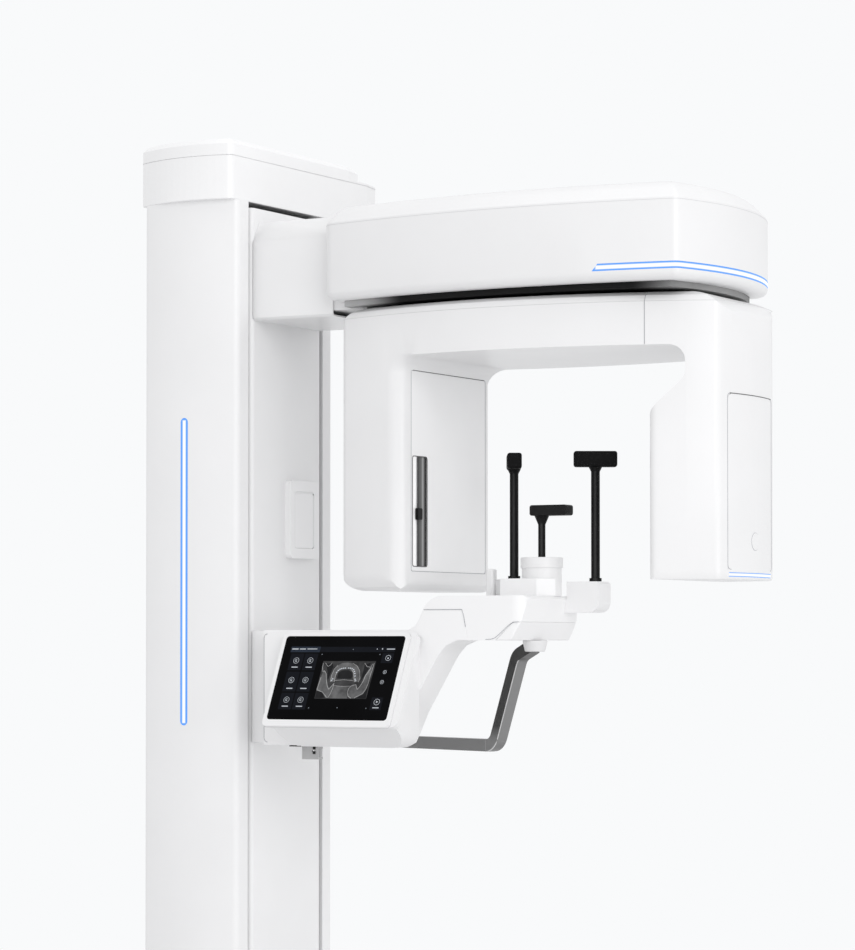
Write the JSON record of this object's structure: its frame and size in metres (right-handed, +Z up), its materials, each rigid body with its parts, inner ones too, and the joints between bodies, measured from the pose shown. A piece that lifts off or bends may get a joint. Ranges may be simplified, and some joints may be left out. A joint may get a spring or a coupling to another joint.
{
  "type": "dental cone-beam ct scanner",
  "caption": "Floor-standing dental cone-beam CT scanner: lifting carriage on a column, overhead head, rotating C-shaped scanning arm, chin and temple rests, and a tilted display.",
  "frame": {"origin": "on the floor at the centre of the base plate's anchor holes, which is the column's axis", "axes": "+Z up, +X from the column towards the scanning arm, -Y towards the operator's side with the display"},
  "size_m": [1.1826, 0.5992, 2.255],
  "materials": {
    "white_cover": "satin white moulding",
    "white_metal": "satin white powder coat",
    "soft_white": "matte off-white moulding",
    "dark_plastic": "matte dark grey",
    "black_pad": "soft black pad",
    "black_plastic": "matte black",
    "display_glass": "dark glossy front glass over a lit picture",
    "dark_window": "dark tinted window",
    "glow": "lit diffuser, white with a blue edge",
    "steel": "bare steel",
    "aluminium": "bare aluminium",
    "grey_metal": "grey paint",
    "grey_plastic": "grey moulding"
  },
  "bodies": {
    "column": {"base_plate": "steel", "foot_skirt": "white_metal", "column_shell": "white_metal", "column_cap": "white_cover", "cap_lid": "white_cover", "column_light": "glow", "lower_cover": "white_metal", "rail_left": "steel", "rail_right": "steel", "actuator_barrel": "aluminium", "actuator_motor": "grey_metal", "power_box": "grey_plastic"},
    "carriage": {"carriage_frame": "steel", "slide_blocks": "steel", "actuator_rod": "steel", "carriage_panel": "white_metal", "neck_beam": "steel", "neck_cover": "white_cover", "head_shell": "white_cover", "head_crown": "white_cover", "head_light": "glow", "head_base": "dark_plastic", "head_frame": "steel", "bearing": "steel", "motor_stator": "grey_metal", "remote_holder": "white_cover", "remote": "soft_white", "arm_bracket": "white_cover", "lower_arm": "white_cover", "table_cover": "white_cover", "table_end": "white_cover", "display_housing": "white_cover", "display_glass": "display_glass", "grab_handle": "grey_metal", "handle_socket": "soft_white", "chin_platform": "white_cover", "temple_lever": "white_cover", "temple_pod": "white_cover", "chin_socket": "white_cover", "hook_bracket": "grey_metal"},
    "scan_arm": {"arm_cover": "white_cover", "detector_cover": "white_cover", "source_panel": "soft_white", "detector_door": "white_cover", "door_cap": "soft_white", "end_light": "glow", "laser_window": "dark_window", "laser_strip": "white_cover", "xray_tube": "aluminium", "collimator": "dark_plastic", "detector_panel": "dark_plastic", "arm_frame": "steel", "spin_hub": "steel", "motor_rotor": "grey_metal"},
    "laser_slider": {"laser_knob": "black_plastic"},
    "temple_left": {"temple_rod_left": "black_plastic", "temple_pad_left": "black_pad"},
    "temple_right": {"temple_rod_right": "black_plastic", "temple_pad_right": "black_pad"},
    "chin_support": {"chin_rest": "black_plastic"}
  },
  "joints": [
    {"name": "lift", "type": "slide", "parent": "column", "child": "carriage", "axis": [0, 0, 1], "range_m": [-0.65, 0]},
    {"name": "spin", "type": "hinge", "parent": "carriage", "child": "scan_arm", "pos_m": [0.64, 0, 2], "axis": [0, 0, 1], "range_deg": [-185, 185]},
    {"name": "laser_height", "type": "slide", "parent": "scan_arm", "child": "laser_slider", "axis": [0, 0, 1], "range_m": [-0.065, 0.065]},
    {"name": "temple_left_turn", "type": "hinge", "parent": "carriage", "child": "temple_left", "pos_m": [0.55, 0.015, 1.472], "axis": [0, 0, 1], "range_deg": [-90, 90]},
    {"name": "temple_right_turn", "type": "hinge", "parent": "carriage", "child": "temple_right", "pos_m": [0.706, 0.015, 1.472], "axis": [0, 0, 1], "range_deg": [-90, 90]},
    {"name": "chin_height", "type": "slide", "parent": "carriage", "child": "chin_support", "axis": [0, 0, 1], "range_m": [0, 0.04]}
  ]
}
